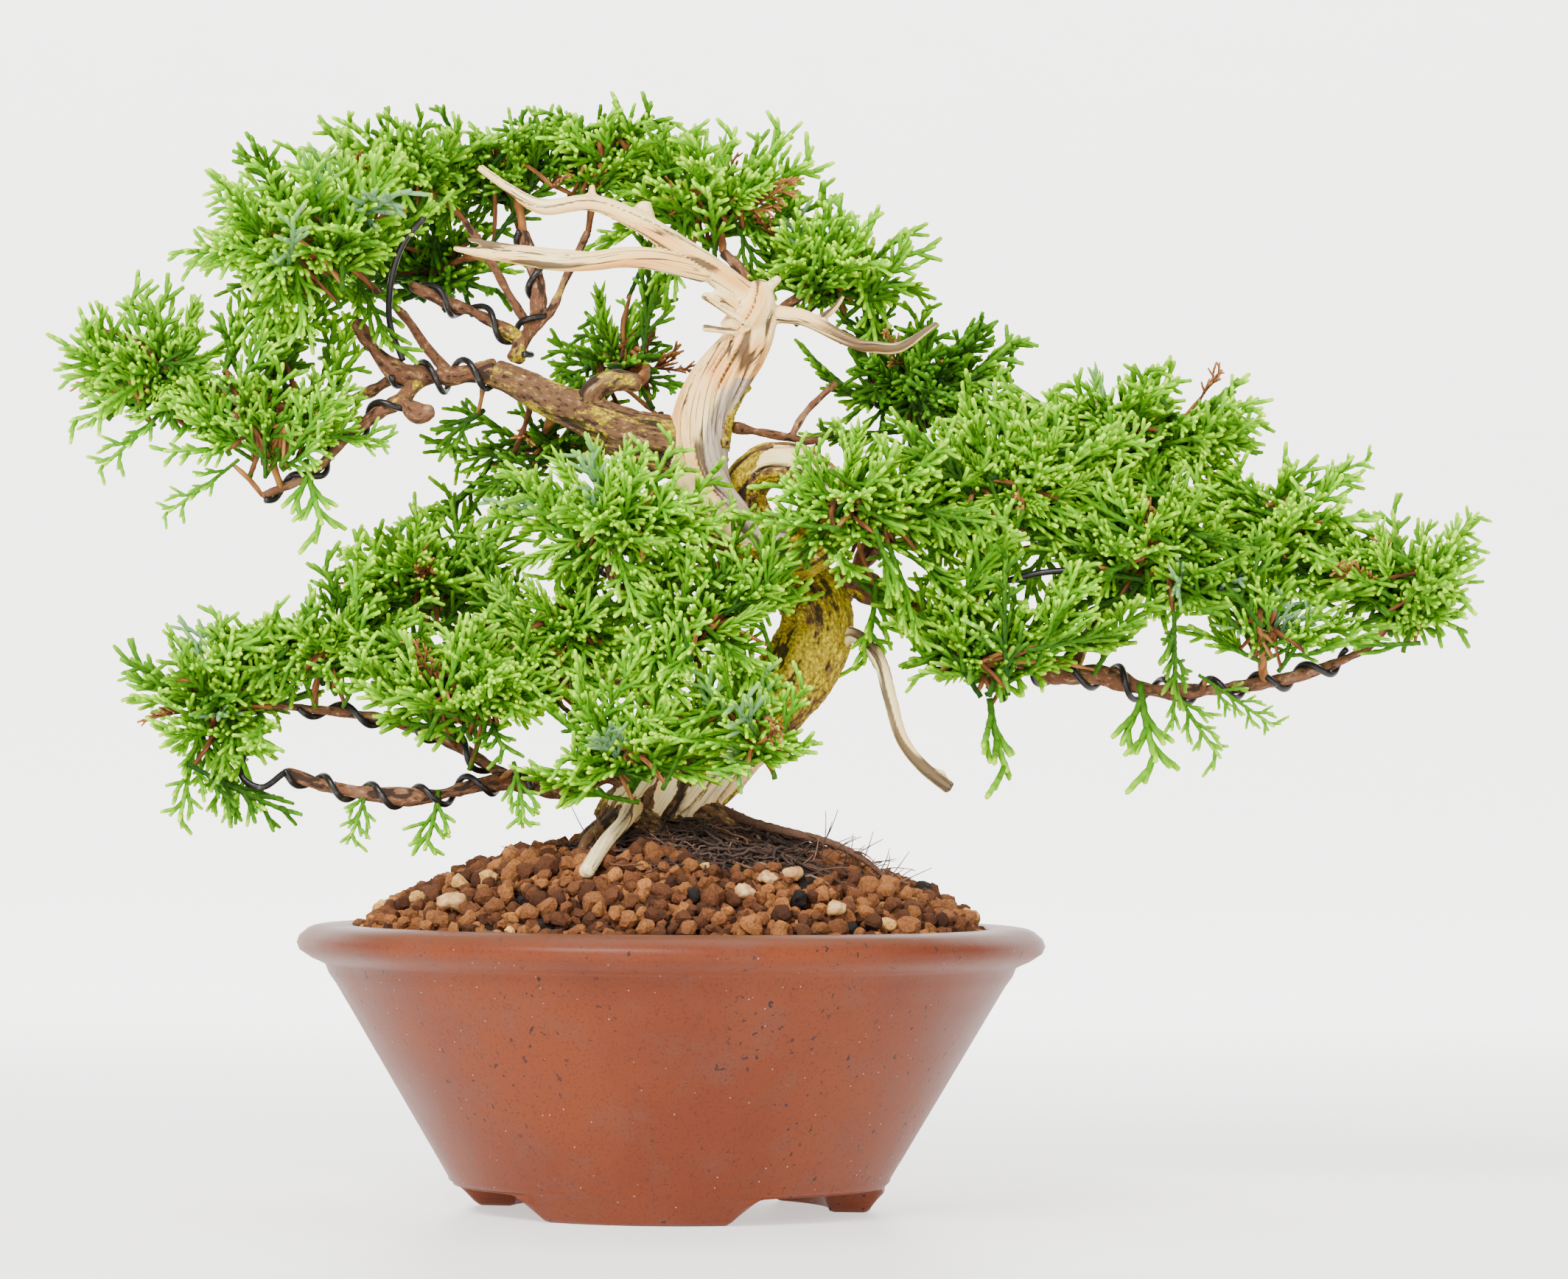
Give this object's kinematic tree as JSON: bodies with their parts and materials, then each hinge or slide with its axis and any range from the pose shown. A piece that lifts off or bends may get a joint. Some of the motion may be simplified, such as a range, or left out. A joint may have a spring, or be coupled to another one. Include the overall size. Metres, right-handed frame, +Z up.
{
  "type": "bonsai tree in a pot",
  "caption": "Leaning juniper bonsai with bleached deadwood, wired branches and scale-leaf foliage pads, planted in a round flared clay pot on feet.",
  "frame": {"origin": "on the table, under the middle of the whole object's box; the pot's axis stands 23.7 mm to the left of it", "axes": "+Z up, +X to the right seen from the tree's front, -Y towards the viewer of its front"},
  "size_m": [0.3425, 0.1806, 0.27],
  "materials": {
    "clay": "satin",
    "net": "matte",
    "wire": "satin",
    "pumice": "matte",
    "akadama": "matte",
    "roots": "matte",
    "bark": "matte",
    "stem": "matte",
    "leaf": "matte",
    "pebble": "matte"
  },
  "bodies": {
    "root": {"pot": "clay", "drainage_net": "net", "net_clip": "wire", "anchor_wire": "wire", "drainage_layer": "pumice", "akadama_soil": "akadama", "root_ball": "roots", "long_root": "roots", "trunk": "bark", "crown_branch": "stem", "left_branch": "stem", "upper_right_stem": "stem", "right_twig": "stem", "right_branch": "stem", "right_upper_branch": "stem", "middle_left_branch": "stem", "lower_left_branch": "stem", "lower_back_branch": "stem", "front_branch": "stem", "wire_right": "wire", "wire_left_drop": "wire", "wire_left": "wire", "wire_lower_left": "wire", "foliage_far_left": "leaf", "foliage_left_low": "leaf", "foliage_left_high": "leaf", "foliage_top_left": "leaf", "foliage_top_middle": "leaf", "foliage_apex": "leaf", "foliage_top_right": "leaf", "foliage_jin_right": "leaf", "foliage_behind_jins": "leaf", "foliage_under_limb": "leaf", "foliage_crown_back": "leaf", "foliage_middle_left": "leaf", "foliage_loop_front": "leaf", "foliage_right_back": "leaf", "foliage_right_inner": "leaf", "foliage_right_top": "leaf", "foliage_right_outer": "leaf", "foliage_right_tip": "leaf", "foliage_right_front": "leaf", "foliage_right_edge": "leaf", "foliage_right_low": "leaf", "foliage_right_rear": "leaf", "foliage_low_far_left": "leaf", "foliage_low_left": "leaf", "foliage_low_left_top": "leaf", "foliage_low_left_front": "leaf", "foliage_low_middle": "leaf", "foliage_low_front": "leaf", "foliage_front_high": "leaf", "foliage_front_low": "leaf", "foliage_low_rear": "leaf", "pebble_left": "pebble", "pebble_front": "pebble", "pebble_middle": "pebble", "pebble_upper": "pebble", "pebble_right": "pebble"}
  },
  "joints": []
}
